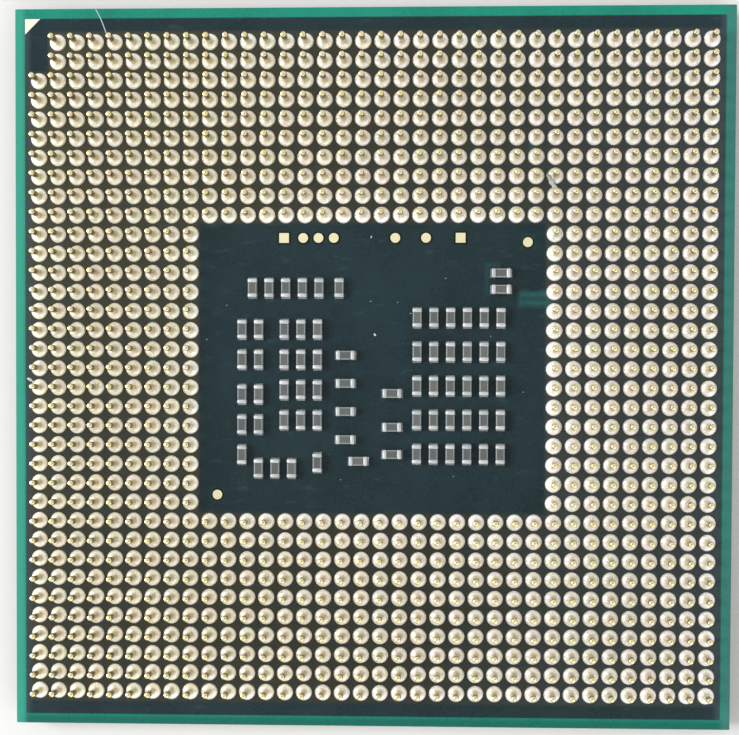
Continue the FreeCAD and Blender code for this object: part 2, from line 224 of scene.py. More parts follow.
@dataclass
class EffectBook:
    """Node groups that more than one finish uses, each built once.

    Args:
        built: The groups by name.
    """

    built: dict[str, Tree] = field(default_factory=dict)

    def start(self, name: str, inputs: dict[str, str], outputs: dict[str, str]) -> tuple:
        """Makes an empty group.

        Args:
            name: The group's name.
            inputs: Kinds of socket, such as Float, by input name.
            outputs: Kinds of socket by output name.

        Returns:
            A graph on the group, the sockets of its inputs and those that take its results.
        """
        tree = bpy.data.node_groups.new(name, "ShaderNodeTree")
        for way, sockets in (("INPUT", inputs), ("OUTPUT", outputs)):
            for socket, kind in sockets.items():
                tree.interface.new_socket(socket, in_out=way, socket_type=f"NodeSocket{kind}")
        graph = Graph(tree)
        self.built[name] = tree
        return graph, graph.add("NodeGroupInput").outputs, graph.add("NodeGroupOutput").inputs

    def pin_cell(self) -> Tree:
        """Distance from the nearest pin position, and values that differ from pin to pin."""
        if "pin_cell" not in self.built:
            graph, given, result = self.start("pin_cell", {"Place": "Vector", "Pitch": "Float"},
                                              {"Distance": "Float", "Chance": "Float", "Tint": "Color"})
            pitch = given["Pitch"]
            across, along, _ = graph.split(given["Place"])
            half = 0.5
            column = graph.math("DIVIDE", across, pitch)
            row = graph.math("ADD", graph.math("DIVIDE", along, pitch), half)
            floors = [graph.math("FLOOR", count) for count in (column, row)]
            cell = graph.add("ShaderNodeCombineXYZ", dict(enumerate(floors)))
            offsets = [graph.less(graph.math("FRACT", count), half) for count in (column, row)]
            squares = graph.math("ADD", *(graph.times(offset, offset) for offset in offsets))
            reach = graph.math("SQRT", squares)
            chance = graph.add("ShaderNodeTexWhiteNoise", {"Vector": cell.outputs[0]}, noise_dimensions="2D")
            graph.feed(result["Distance"], graph.times(reach, pitch))
            graph.feed(result["Chance"], chance.outputs["Value"])
            graph.feed(result["Tint"], chance.outputs["Color"])
        return self.built["pin_cell"]

    def mottle(self) -> Tree:
        """Coarse and fine cloudiness in one value, and a fine height for a bump."""
        if "mottle" not in self.built:
            needed = {"Place": "Vector", "Coarse": "Float", "Fine": "Float"}
            graph, given, result = self.start("mottle", needed, {"Value": "Float", "Height": "Float"})
            coarse = graph.noise(given["Place"], given["Coarse"], 4.0)
            fine = graph.noise(given["Place"], given["Fine"], 2.0)
            share = 0.65
            both = graph.math("ADD", graph.times(coarse, share), graph.times(fine, 1 - share))
            graph.feed(result["Value"], both)
            graph.feed(result["Height"], fine)
        return self.built["mottle"]

    def patch(self) -> Tree:
        """A soft-edged upright rectangle on the package, as a mask."""
        if "patch" not in self.built:
            needed = {"Place": "Vector", "Middle": "Vector", "Half": "Vector", "Soft": "Float"}
            graph, given, result = self.start("patch", needed, {"Mask": "Float"})
            apart = graph.vector("ABSOLUTE", graph.vector("SUBTRACT", given["Place"], given["Middle"]))
            across, along, _ = graph.split(graph.vector("SUBTRACT", apart, given["Half"]))
            share = graph.math("DIVIDE", graph.math("MAXIMUM", across, along), given["Soft"])
            graph.feed(result["Mask"], graph.ramp(share, 0.5, -0.5))
        return self.built["patch"]


EFFECTS = EffectBook()
MATERIALS: dict[str, bpy.types.Material] = {}


@dataclass(frozen=True)
class Finish:
    """A surface finish that makes one material.

    Args:
        name: The material's name.
    """

    name: str

    def paint(self, graph: Graph) -> dict:
        """Builds the finish's pattern.

        Args:
            graph: The material's graph.

        Returns:
            Values or sockets for the shader's inputs, by name.
        """
        raise NotImplementedError

    def material(self) -> bpy.types.Material:
        """The finish's material, built at its first use."""
        if self.name not in MATERIALS:
            made = bpy.data.materials.new(self.name)
            MATERIALS[self.name] = made
            made.use_nodes = True
            made.node_tree.nodes.clear()
            graph = Graph(made.node_tree)
            shader = graph.add("ShaderNodeBsdfPrincipled", self.paint(graph))
            graph.add("ShaderNodeOutputMaterial", {"Surface": shader.outputs[0]})
        return MATERIALS[self.name]


@dataclass(frozen=True)
class MaskFinish(Finish):
    """Dark solder mask, a brighter green rim with no copper under it, and the sawn laminate edge.

    Args:
        rim: Width of the green rim, in millimetres, as all its sizes are.
        half: Half the package's width and depth, which are the same.
        low: Height of the die side.
        high: Height of the pin side.
        halo: Width of the paler strip beside the left and right rim.
        seam: Half the softness of the rim's inner edge.
        painted_side_light: Distances from the middle between which the rim of one side is painted lighter or
            darker as the light falls: a painted sheen on the left, painted shade at the front and a greyer
            painted reflection on the right.
        pin_field: Half sizes of the pin field.
        cavity: Half sizes of the free middle.
        empty: Middle and half sizes of the positions without a pin.
        edge: Softness of the field's and the cavity's edges.
        blur: Softness of a patch's edge.
        patches: Middle, half sizes and strength of each place that shows laminate beside a trace.
        skin: Depths in the sawn edge between which the outer mask ends.
        built_up: Depths between which the layers of resin and copper end.
        layering: Turn of the layers per millimetre, as an angle.
    """

    rim: float = 0.5
    half: float = 18.75
    low: float = 0.8
    high: float = 1.95
    halo: float = 0.45
    seam: float = 0.035
    painted_side_light: Pair = (18.1, 18.5)
    pin_field: Pair = (18.05, 17.55)
    cavity: Pair = (9.05, 7.55)
    empty: tuple[Pair, ...] = ((-17.55, 16.55), (0.55, 1.1))
    edge: float = 0.25
    blur: float = 0.22
    patches: tuple[tuple, ...] = (
        ((8.5, 3.88), (0.82, 0.14), 0.75), ((8.5, 3.44), (0.82, 0.12), 0.75),
        ((8.45, 3.6), (0.85, 0.42), 0.4), ((5.98, 4.6), (0.1, 0.8), 0.22), ((6.3, 5.42), (0.4, 0.09), 0.3),
        ((8.14, 6.64), (0.36, 0.36), 0.22), ((-8.1, -6.62), (0.36, 0.36), 0.2),
        ((8.35, 11.5), (0.2, 0.5), 0.6), ((-11.5, 1.5), (0.12, 1.4), 0.5),
        ((-13.6, 11.0), (0.6, 0.14), 0.35), ((13.5, -9.5), (0.12, 1.1), 0.3))
    skin: Pair = (0.04, 0.025)
    built_up: Pair = (0.26, 0.2)
    layering: float = 95.0

    def paint(self, graph: Graph) -> dict:
        """Mask over copper, rim, pin field, traces and laminate edge."""
        place = graph.place()
        across, along, height = graph.split(place)
        cloud, _ = graph.clouds(place, 0.35, 7.0)
        grain = graph.noise(place, 16.0, 2.0)
        blotches = graph.noise(graph.vector("MULTIPLY", place, (1.0, 1.0, 0.0)), 1.3, 2.0)
        mask = graph.mix(graph.ramp(cloud, 0.35, 0.65), srgb(17, 40, 46), srgb(23, 46, 52))
        pin_side = graph.math("GREATER_THAN", height, (self.low + self.high) / 2)
        # Painted reflection of the warm solder on the mask between the pins.
        mask = graph.mix(graph.times(self.between(graph, place), pin_side), mask,
                         self.painted_solder_reflection(graph, across, along, blotches))
        traces = graph.times(pin_side, self.traces(graph, place, blotches))
        mask = graph.mix(traces, mask, srgb(34, 98, 98))
        strokes = graph.noise(graph.vector("MULTIPLY", place, (0.9, 2.6, 0.0)), 0.9, 2.0)
        mask = graph.mix(graph.ramp(strokes, 0.6, 0.74, 0.0, 0.22), mask, srgb(62, 92, 98))
        far_x, far_y = (graph.less(graph.math("ABSOLUTE", way), self.half - self.rim)
                        for way in (across, along))
        mask = graph.mix(graph.ramp(far_x, -self.halo, 0.0, 0.0, 0.5), mask, srgb(70, 92, 98))
        green = graph.mix(graph.ramp(cloud, 0.3, 0.7), srgb(16, 130, 110), srgb(24, 146, 124))
        # Painted light on the rim: a painted sheen on the left, painted shade at the front and a greyer
        # painted reflection on the right.
        for way, side, share, tone in (
                (along, -1, 1.0, srgb(10, 104, 90)), (across, 1, 0.8, srgb(62, 124, 118)),
                (across, -1, 1.0, srgb(56, 160, 138))):
            start, end = (side * distance for distance in self.painted_side_light)
            green = graph.mix(graph.ramp(way, start, end, 0.0, share), green, tone)
        mask = graph.mix(graph.ramp(graph.math("MAXIMUM", far_x, far_y), -self.seam, self.seam), mask, green)
        mask = graph.mix(graph.ramp(grain, 0.35, 0.75, 0.0, 0.05), mask, srgb(120, 135, 130))
        bumps = graph.math("ADD", graph.times(grain, 0.3), graph.times(blotches, 0.7))
        return {"Base Color": self.with_sides(graph, mask, place, height), "Specular IOR Level": 0.19,
                "Roughness": graph.ramp(cloud, 0.3, 0.7, 0.22, 0.34),
                "Normal": graph.bump(bumps, 0.25, 0.02)}

    def between(self, graph: Graph, place: object) -> Socket:
        """The field of pins, without the cavity and the empty positions, as a mask.

        Args:
            graph: The material's graph.
            place: The point, in millimetres.

        Returns:
            The mask's socket.
        """
        whole, cavity, empty = (graph.zone(place, middle, half, self.edge) for middle, half in (
            ((0, 0), self.pin_field), ((0, 0), self.cavity), self.empty))
        return graph.times(whole, graph.less(1.0, graph.math("MAXIMUM", cavity, empty)))

    def painted_solder_reflection(self, graph: Graph, across: object, along: object, blotches: object) -> Socket:
        """The painted reflection of the warm solder on the mask between the pins, cooler toward the right
        and paler toward the rear left.

        Args:
            graph: The material's graph.
            across: The point's place along X.
            along: Its place along Y.
            blotches: Cloudy value that breaks it up.

        Returns:
            The colour's socket.
        """
        # Painted reflection: the brown of the solder mirrored in the mask between the pins.
        painted_brown = graph.mix(graph.ramp(blotches, 0.4, 0.65), srgb(53, 52, 42), srgb(42, 52, 51))
        painted_brown = graph.mix(graph.ramp(across, 0.0, 18.0, 0.0, 0.8), painted_brown, srgb(56, 66, 71))
        # Paler toward the rear left.
        sideways = graph.ramp(across, 6.0, -16.0, 0.1, 1.0)
        paler_rear_left = graph.times(sideways, graph.ramp(along, -10.0, 16.0, 0.1, 0.45))
        return graph.mix(paler_rear_left, painted_brown, srgb(82, 78, 60))

    def traces(self, graph: Graph, place: object, blotches: object) -> Socket:
        """The places where bare laminate shows teal through the mask beside a trace.

        Args:
            graph: The material's graph.
            place: The point, in millimetres.
            blotches: Cloudy value that breaks the patches up.

        Returns:
            The mask's socket.
        """
        total: object = 0.0
        for middle, half, strength in self.patches:
            one = graph.zone(place, middle, half, self.blur)
            total = graph.math("MAXIMUM", total, graph.times(one, strength))
        return graph.times(total, graph.ramp(blotches, 0.2, 0.6, 0.6, 1.0))

    def with_sides(self, graph: Graph, mask: object, place: object, height: object) -> Socket:
        """Adds the sawn edge: thin layers of mask, resin and copper round a glass core.

        Args:
            graph: The material's graph.
            mask: Colour of the flat sides.
            place: The point, in millimetres.
            height: Its height.

        Returns:
            The colour of all sides.
        """
        upright = graph.split(graph.add("ShaderNodeTexCoord").outputs["Normal"])[2]
        weave = graph.noise(graph.vector("MULTIPLY", place, (1.5, 1.5, 24.0)), 1.0)
        core = graph.mix(weave, srgb(92, 98, 62), srgb(128, 128, 84))
        depth = graph.math("MINIMUM", graph.less(height, self.low), graph.less(self.high, height))
        layers = graph.math("SINE", graph.times(depth, self.layering))
        stripes = graph.mix(graph.ramp(layers, 0.2, 0.7), srgb(44, 78, 60), srgb(142, 110, 66))
        sawn = graph.mix(graph.ramp(depth, *self.built_up), core, stripes)
        sawn = graph.mix(graph.ramp(depth, *self.skin), sawn, srgb(30, 96, 78))
        return graph.mix(graph.ramp(graph.math("ABSOLUTE", upright), 0.75, 0.45), mask, sawn)


@dataclass(frozen=True)
class GoldFinish(Finish):
    """Thin gold plating on a contact pin, a little different from pin to pin, with painted shade and painted
    reflection of the dark mask up the shaft.

    Args:
        pitch: Distance from pin to pin, in millimetres, as all its sizes are.
        shoulder: Height of the shaft's end under the tip.
        painted_neck_shade: Heights where the painted shade and reflection of the dark mask on the shaft
            start and where they are full.
    """

    pitch: float = 1.0
    shoulder: float = 3.88
    painted_neck_shade: Pair = (2.8, 3.4)

    def paint(self, graph: Graph) -> dict:
        """Gold with a per-pin tint, fine wear and a band of painted shade and reflection on the shaft."""
        place = graph.place()
        _, chance, _ = graph.group(EFFECTS.pin_cell(), Place=place, Pitch=self.pitch)
        wear, relief = graph.clouds(place, 3.0, 22.0)
        gold = graph.mix(chance, srgb(214, 205, 150), srgb(218, 202, 158))
        gold = graph.mix(graph.ramp(wear, 0.5, 0.75, 0.0, 0.3), gold, srgb(190, 178, 136))
        height = graph.split(place)[2]
        # Painted shade and painted reflection of the dark mask on the shaft under the tip.
        shaft = graph.math("LESS_THAN", height, self.shoulder)
        painted_brown = graph.times(graph.ramp(height, *self.painted_neck_shade, 0.0, 0.8), shaft)
        gold = graph.mix(painted_brown, gold, srgb(128, 100, 58))
        return {"Base Color": gold, "Metallic": 1.0, "Roughness": graph.ramp(wear, 0.3, 0.7, 0.16, 0.28),
                "Normal": graph.bump(relief, 0.05, 0.004)}


@dataclass(frozen=True)
class SolderFinish(Finish):
    """Warm bright solder, darker near the pin from flux dulling and painted shade of the pin, with smudges
    that differ from joint to joint, and painted cooler toward the right.

    Args:
        pitch: Distance from pin to pin, in millimetres, as all its sizes are.
        dull_and_shaded_reach: Distances from the pin where the darker middle, flux dulling and painted
            shade, starts and where it is full.
        painted_cool_reflection: Places along X where the painted cooler reflection on the solder starts and
            where it is coolest.
    """

    pitch: float = 1.0
    dull_and_shaded_reach: Pair = (0.34, 0.14)
    painted_cool_reflection: Pair = (-12.0, 12.0)

    def paint(self, graph: Graph) -> dict:
        """Bright flank, a darker middle of flux dulling and painted shade, broken up by cloudiness and a
        grain of warm and green tints.
        """
        place = graph.place()
        distance, chance, tint = graph.group(EFFECTS.pin_cell(), Place=place, Pitch=self.pitch)
        cloud, relief = graph.clouds(place, 2.6, 8.0)
        reach = graph.math("ADD", distance, graph.times(graph.less(cloud, 0.5), 0.5))
        middle = graph.ramp(reach, *self.dull_and_shaded_reach)
        warm = graph.mix(chance, srgb(255, 253, 244), srgb(255, 253, 239))
        # Painted reflection: the solder's colour turns cooler toward the right.
        warm = graph.mix(graph.ramp(graph.split(place)[0], *self.painted_cool_reflection), warm, srgb(255, 254, 255))
        # Darker middle near the pin: flux dulling and painted shade of the pin.
        dull_and_shaded = graph.mix(chance, srgb(190, 178, 148), srgb(206, 196, 172))
        colour = graph.mix(graph.times(middle, 0.7), graph.mix(0.05, warm, tint), dull_and_shaded)
        grain = graph.noise(place, 7.0, 2.0)
        colour = graph.mix(graph.ramp(grain, 0.54, 0.66, 0.0, 0.5), colour, srgb(255, 245, 234))
        colour = graph.mix(graph.ramp(grain, 0.44, 0.34, 0.0, 0.5), colour, srgb(242, 255, 224))
        rough = graph.math("ADD", 0.34, graph.times(middle, 0.14))
        return {"Base Color": colour, "Metallic": 0.4, "Roughness": rough,
                "Normal": graph.bump(relief, 0.8, 0.03)}


@dataclass(frozen=True)
class CeramicFinish(Finish):
    """Grey fired ceramic with a painted highlight along its long edges."""

    def paint(self, graph: Graph) -> dict:
        """Grey block whose tone differs from chip to chip."""
        speckle, relief = graph.clouds(graph.place(), 5.0, 26.0)
        tone, edge = (graph.add("ShaderNodeAttribute", attribute_name=name).outputs["Fac"]
                      for name in ("tone", "edge"))
        body = graph.mix(tone, srgb(82, 90, 90), srgb(101, 103, 98))
        body = graph.mix(graph.ramp(speckle, 0.35, 0.7, 0.0, 0.3), body, srgb(114, 118, 118))
        # Painted highlight along the long edges, where the attribute edge is 1.
        colour = graph.mix(graph.ramp(edge, 0.0, 0.45, 0.0, 0.85), body, srgb(156, 163, 164))
        return {"Base Color": colour, "Roughness": 0.5, "Specular IOR Level": 0.25,
                "Normal": graph.bump(relief, 0.3, 0.01)}


@dataclass(frozen=True)
class TinnedFinish(Finish):
    """Dull tinned termination of a chip capacitor."""

    def paint(self, graph: Graph) -> dict:
        """Pale metal, cloudy, a little different from chip to chip."""
        cloud, relief = graph.clouds(graph.place(), 4.0, 18.0)
        tone = graph.add("ShaderNodeAttribute", attribute_name="tone").outputs["Fac"]
        pale = graph.mix(tone, srgb(168, 176, 178), srgb(194, 195, 197))
        colour = graph.mix(graph.ramp(cloud, 0.4, 0.7, 0.0, 0.5), pale, srgb(150, 157, 162))
        return {"Base Color": colour, "Metallic": 0.7, "Roughness": graph.ramp(cloud, 0.3, 0.7, 0.42, 0.58),
                "Normal": graph.bump(relief, 0.3, 0.015)}


@dataclass(frozen=True)
class CloudyFinish(Finish):
    """A surface that clouds over between two tones.

    Args:
        low: Its first tone.
        high: Its second tone.
        coarse: Large clouds per millimetre.
        fine: Small clouds per millimetre.
        rough: Roughness at the first and at the second tone.
        metal: How metallic it is.
        gloss: Strength of its mirror share.
        relief: Strength of its bump, and a full step in millimetres.
    """

    low: Colour
    high: Colour
    coarse: float
    fine: float
    rough: Pair
    metal: float = 0.0
    gloss: float = 0.5
    relief: Pair = (0.0, 0.0)

    def paint(self, graph: Graph) -> dict:
        """Two tones, with roughness and bump from the same clouds."""
        cloud, height = graph.clouds(graph.place(), self.coarse, self.fine)
        even = self.rough[0] == self.rough[1]
        inputs = {"Base Color": graph.mix(cloud, self.low, self.high), "Metallic": self.metal,
                  "Roughness": self.rough[0] if even else graph.ramp(cloud, 0.3, 0.7, *self.rough),
                  "Specular IOR Level": self.gloss}
        if self.relief[0] > 0:
            inputs["Normal"] = graph.bump(height, *self.relief)
        return inputs


@dataclass(frozen=True)
class SiliconFinish(Finish):
    """Polished bare silicon with faint wiping marks."""

    def paint(self, graph: Graph) -> dict:
        """Blue-grey mirror with a little haze."""
        wiped = graph.vector("MULTIPLY", graph.place(), (0.25, 2.2, 1.0))
        haze, relief = graph.clouds(wiped, 0.8, 9.0)
        colour = graph.mix(haze, srgb(112, 118, 134), srgb(136, 140, 154))
        return {"Base Color": colour, "Metallic": 0.9, "Roughness": graph.ramp(haze, 0.35, 0.7, 0.1, 0.26),
                "Normal": graph.bump(relief, 0.05, 0.01)}


@dataclass(frozen=True)
class BackdropFinish(Finish):
    """A plain surface round the part, with the faintest unevenness.

    Args:
        low: Its darker tone.
        high: Its paler tone.
        scale: Clouds per millimetre.
        detail: Number of finer layers in the clouds.
        rough: Its roughness.
        gloss: Strength of its mirror share.
    """

    low: Colour
    high: Colour
    scale: float
    detail: float
    rough: float
    gloss: float

    def paint(self, graph: Graph) -> dict:
        """Two near tones."""
        colour = graph.mix(graph.noise(graph.place(), self.scale, self.detail), self.low, self.high)
        return {"Base Color": colour, "Roughness": self.rough, "Specular IOR Level": self.gloss}


MASK = MaskFinish("solder_mask")
GOLD = GoldFinish("gold_plating")
SOLDER = SolderFinish("warm_solder")
CERAMIC = CeramicFinish("fired_ceramic")
TINNED = TinnedFinish("tinned_ends")
FILLET = CloudyFinish("bright_solder", srgb(196, 200, 202), srgb(226, 226, 224), 3.0, 14.0, (0.2, 0.34), 1.0,
                      relief=(0.3, 0.02))
PLATED, PLATED_MARK = (
    CloudyFinish(name, low, high, 2.5, 20.0, (0.45, 0.6), 0.55, relief=(0.4, 0.01)) for name, low, high in (
        ("plated_copper", srgb(217, 209, 170), srgb(216, 214, 180)),
        ("plated_mark", srgb(224, 217, 200), srgb(226, 221, 205))))
OPENING = CloudyFinish("mask_opening", srgb(18, 18, 8), srgb(34, 32, 18), 4.0, 20.0, (0.5, 0.5), gloss=0.08)
SILICON = SiliconFinish("bare_silicon")
RESIN = CloudyFinish("underfill_resin", srgb(34, 33, 32), srgb(58, 55, 51), 1.6, 12.0, (0.32, 0.5),
                     relief=(0.35, 0.04))
LINT = CloudyFinish("lint", srgb(176, 186, 184), srgb(226, 232, 228), 6.0, 24.0, (0.8, 0.8))
FLOOR = BackdropFinish("table_top", srgb(236, 236, 235), srgb(242, 242, 241), 0.02, 3.0, 0.7, 0.2)
CARD = BackdropFinish("tan_card", srgb(212, 188, 160), srgb(224, 200, 172), 0.05, 2.0, 0.8, 0.5)


class Part(Enum):
    """Parts of a mesh that are picked to work on, by the mesh's own name for them."""

    VERT = "verts"
    EDGE = "edges"
    FACE = "faces"


class Bench:
    """Modelling by hand: one piece is active at a time and all else is deselected."""

    @staticmethod
    def clear() -> None:
        """Deselects everything."""
        bpy.ops.object.select_all(action="DESELECT")

    @staticmethod
    def take(piece: Piece) -> None:
        """Makes one piece the only selected and active one."""
        Bench.clear()
        piece.select_set(True)
        bpy.context.view_layer.objects.active = piece

    @staticmethod
    def named(name: str) -> Piece:
        """Names the primitive that was just added and moves its place, turn and size into its mesh.

        Args:
            name: The piece's name.

        Returns:
            The piece.
        """
        piece = bpy.context.active_object
        piece.name = name
        piece.data.name = name
        Bench.take(piece)
        bpy.ops.object.transform_apply(location=True, rotation=True, scale=True)
        return piece

    @staticmethod
    def block(name: str, low: Vector, high: Vector) -> Piece:
        """Adds a block between two corners.

        Args:
            name: The piece's name.
            low: Lowest corner.
            high: Highest corner.

        Returns:
            The piece.
        """
        Bench.clear()
        bpy.ops.mesh.primitive_cube_add(size=1.0, location=(low + high) / 2, scale=high - low)
        return Bench.named(name)

    @staticmethod
    def rod(name: str, radius: float, low: float, high: float, sides: int) -> Piece:
        """Adds an upright rod round the origin's vertical axis.

        Args:
            name: The piece's name.
            radius: Its radius.
            low: Height of its foot.
            high: Height of its top.
            sides: Number of flats.

        Returns:
            The piece.
        """
        Bench.clear()
        bpy.ops.mesh.primitive_cylinder_add(vertices=sides, radius=radius, depth=high - low,
                                            location=(0, 0, (low + high) / 2))
        return Bench.named(name)

    @staticmethod
    @contextmanager
    def editing(piece: Piece, parts: Part, wanted: Callable) -> Iterator[None]:
        """Picks parts of a piece by their place or normal, and leaves edit mode after the work on them.

        Args:
            piece: The piece.
            parts: Which parts are tested.
            wanted: Test of one part.

        Yields:
            Nothing, with the wanted parts selected.
        """
        Bench.take(piece)
        bpy.ops.object.mode_set(mode="EDIT")
        bpy.ops.mesh.select_mode(type=parts.name)
        bpy.ops.mesh.select_all(action="DESELECT")
        mesh = bmesh.from_edit_mesh(piece.data)
        for part in getattr(mesh, parts.value):
            part.select_set(bool(wanted(part)))
        bmesh.update_edit_mesh(piece.data)
        yield
        bpy.ops.object.mode_set(mode="OBJECT")

    @staticmethod
    def extrude(across: float, along: float, up: float) -> None:
        """Extrudes the picked faces by a step along X, Y and Z."""
        bpy.ops.mesh.extrude_region_move(TRANSFORM_OT_translate={"value": (across, along, up)})

    @staticmethod
    def bevel(width: float, steps: int = 2) -> None:
        """Rounds the picked edges."""
        bpy.ops.mesh.bevel(offset=width, segments=steps, affect="EDGES")

    @staticmethod
    def smooth(piece: Piece, degrees: float) -> None:
        """Shades a piece smooth up to an angle between faces."""
        Bench.take(piece)
        bpy.ops.object.shade_smooth_by_angle(angle=math.radians(degrees))

    @staticmethod
    def join(name: str, pieces: list[Piece]) -> Piece:
        """Joins pieces into one.

        Args:
            name: The joined piece's name.
            pieces: The pieces.

        Returns:
            The joined piece.
        """
        Bench.clear()
        for piece in pieces:
            piece.select_set(True)
        bpy.context.view_layer.objects.active = pieces[0]
        bpy.ops.object.join()
        pieces[0].name = name
        pieces[0].data.name = name
        return pieces[0]

    @staticmethod
    def copies(name: str, master: Piece, moves: list[Matrix], tones: list[float] | None = None) -> Piece:
        """Copies a master piece, each copy with its own mesh, joins the copies and deletes the master.

        Args:
            name: The joined piece's name.
            master: The piece to copy, round the origin.
            moves: Each copy's move.
            tones: Each copy's value of the attribute tone.

        Returns:
            The joined piece.
        """
        made = []
        for number, move in enumerate(moves):
            twin = master.copy()
            twin.data = master.data.copy()
            twin.data.transform(move)
            if tones:
                tone = twin.data.attributes.new("tone", "FLOAT", "POINT")
                tone.data.foreach_set("value", [tones[number]] * len(twin.data.vertices))
            bpy.context.scene.collection.objects.link(twin)
            made.append(twin)
        Bench.take(master)
        bpy.ops.object.delete()
        return Bench.join(name, made)


def coat(piece: Piece, finish: Finish) -> None:
    """Gives a piece its one finish."""
    piece.data.materials.clear()
    piece.data.materials.append(finish.material())


def show(piece: Piece, finish: Finish, slot: str, *replaced: str) -> None:
    """Dresses a piece, lets it ride on the object's body and hides the CAD nodes that it replaces.

    Args:
        piece: The piece.
        finish: Its finish.
        slot: A material slot's name; not used.
        replaced: CAD nodes that it replaces.
    """
    coat(piece, finish)
    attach(piece, BODY)
    if replaced:
        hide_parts(*replaced)
    log.info("%s: %d faces", piece.name, len(piece.data.polygons))


def solids(node: str) -> list[Box]:
    """Boxes of the separate solids of a CAD node.

    Args:
        node: The node's name.

    Returns:
        Lowest and highest corner of each solid, in order of place.
    """
    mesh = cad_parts[node].data
    keys = [tuple(round(part, 8) for part in vertex.co) for vertex in mesh.vertices]
    leader = {key: key for key in keys}

    def root_of(key: tuple) -> tuple:
        """The key that stands for a key's solid."""
        while leader[key] != key:
            leader[key] = leader[leader[key]]
            key = leader[key]
        return key

    for face in mesh.polygons:
        first, *others = (root_of(keys[index]) for index in face.vertices)
        for other in others:
            leader[root_of(other)] = root_of(first)
    groups: dict[tuple, list[tuple]] = {}
    for key in leader:
        groups.setdefault(root_of(key), []).append(key)
    boxes = [(Vector(map(min, zip(*points))), Vector(map(max, zip(*points)))) for points in groups.values()]
    return sorted(boxes, key=lambda box: (round(-box[0].y, 5), round(box[0].x, 5)))


def middle_of(box: Box) -> Vector:
    """The middle of a box."""
    return (box[0] + box[1]) / 2


@dataclass
class Package:
    """The laminate: the CAD solid with its finish."""

    def build(self) -> None:
        """Dresses the laminate."""
        coat(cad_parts["package_substrate"], MASK)
        log.info("package dressed")


@dataclass
class PinField:
    """The contact pins and their solder joints, bank by bank.

    Args:
        sides: Flats round a pin.
        joint_sides: Flats round a joint.
        tip_round: Rounding of a pin's tip.
        tip_length: Length of the tip over its shoulder.
        flank: Rings of a joint above its foot, each as shares of its radius and height.
        joint_sizes: Smallest and largest size of a joint across, as a share of its own.
        pin_angle: Angle up to which a pin is shaded smooth, in degrees.
        joint_angle: The same of a joint.
        seed: Start of the small differences between copies.
    """

    sides: int = 12
    joint_sides: int = 16
    tip_round: float = 0.065 * MM
    tip_length: float = 0.0975 * MM
    flank: tuple[Pair, ...] = ((0.97, 0.32), (0.83, 0.62), (0.5, 0.8), (0.365, 1.0))
    joint_sizes: Pair = (0.975, 1.0)
    pin_angle: float = 40.0
    joint_angle: float = 60.0
    seed: int = 988

    def pin(self, box: Box) -> Piece:
        """A contact pin with a rounded tip.

        Args:
            box: Box of one CAD pin.

        Returns:
            The master piece.
        """
        radius = (box[1].x - box[0].x) / 2
        top = box[1].z
        shoulder = top - self.tip_length
        piece = Bench.rod("pin_master", radius, box[0].z, shoulder, self.sides)
        with Bench.editing(piece, Part.FACE, lambda face: face.normal.z > FACING):
            Bench.extrude(0, 0, top - shoulder)
        with Bench.editing(piece, Part.EDGE,
                           lambda edge: all(abs(end.co.z - top) < NEAR for end in edge.verts)):
            Bench.bevel(self.tip_round)
        return piece

    def joint(self, box: Box) -> Piece:
        """A solder joint with a rounded flank that climbs the pin.

        Args:
            box: Box of one CAD joint.

        Returns:
            The master piece.
        """
        foot = (box[1].x - box[0].x) / 2
        height = box[1].z - box[0].z
        base = (0, 0, box[0].z)
        Bench.clear()
        bpy.ops.mesh.primitive_circle_add(vertices=self.joint_sides, radius=foot, fill_type="NGON",
                                          location=base)
        piece = Bench.named("joint_master")
        with Bench.editing(piece, Part.FACE, lambda face: True):
            width, level = 1.0, 0.0
            for share, rise in self.flank:
                Bench.extrude(0, 0, (rise - level) * height)
                bpy.ops.transform.resize(value=(share / width, share / width, 1), center_override=base)
                width, level = share, rise
            bpy.ops.mesh.select_all(action="SELECT")
            bpy.ops.mesh.normals_make_consistent(inside=False)
        return piece

    def build(self) -> None:
        """Builds the four banks of pins and joints."""
        for number, bank in enumerate(Bank):
            chance = random.Random(self.seed + number)
            pins = solids(f"pins_{bank.value}")
            joints = solids(f"pin_joints_{bank.value}")
            pin_moves = [self.move(middle_of(box), chance.uniform(0, math.tau), 1.0) for box in pins]
            joint_moves = [self.move(middle_of(box), chance.uniform(0, math.tau),
                                     chance.uniform(*self.joint_sizes)) for box in joints]
            pin_bank = Bench.copies(f"contact_pins_{bank.value}", self.pin(pins[0]), pin_moves)
            joint_bank = Bench.copies(f"solder_joints_{bank.value}", self.joint(joints[0]), joint_moves)
            Bench.smooth(pin_bank, self.pin_angle)
            Bench.smooth(joint_bank, self.joint_angle)
            show(pin_bank, GOLD, "gold_plating", f"pins_{bank.value}")
            show(joint_bank, SOLDER, "solder", f"pin_joints_{bank.value}")

    def move(self, middle: Vector, turn: float, size: float) -> Matrix:
        """The move of one copy: sized across, turned about the vertical and set in place."""
        place = Matrix.Translation((middle.x, middle.y, 0))
        return place @ Matrix.Rotation(turn, 4, "Z") @ Matrix.Diagonal((size, size, 1, 1))


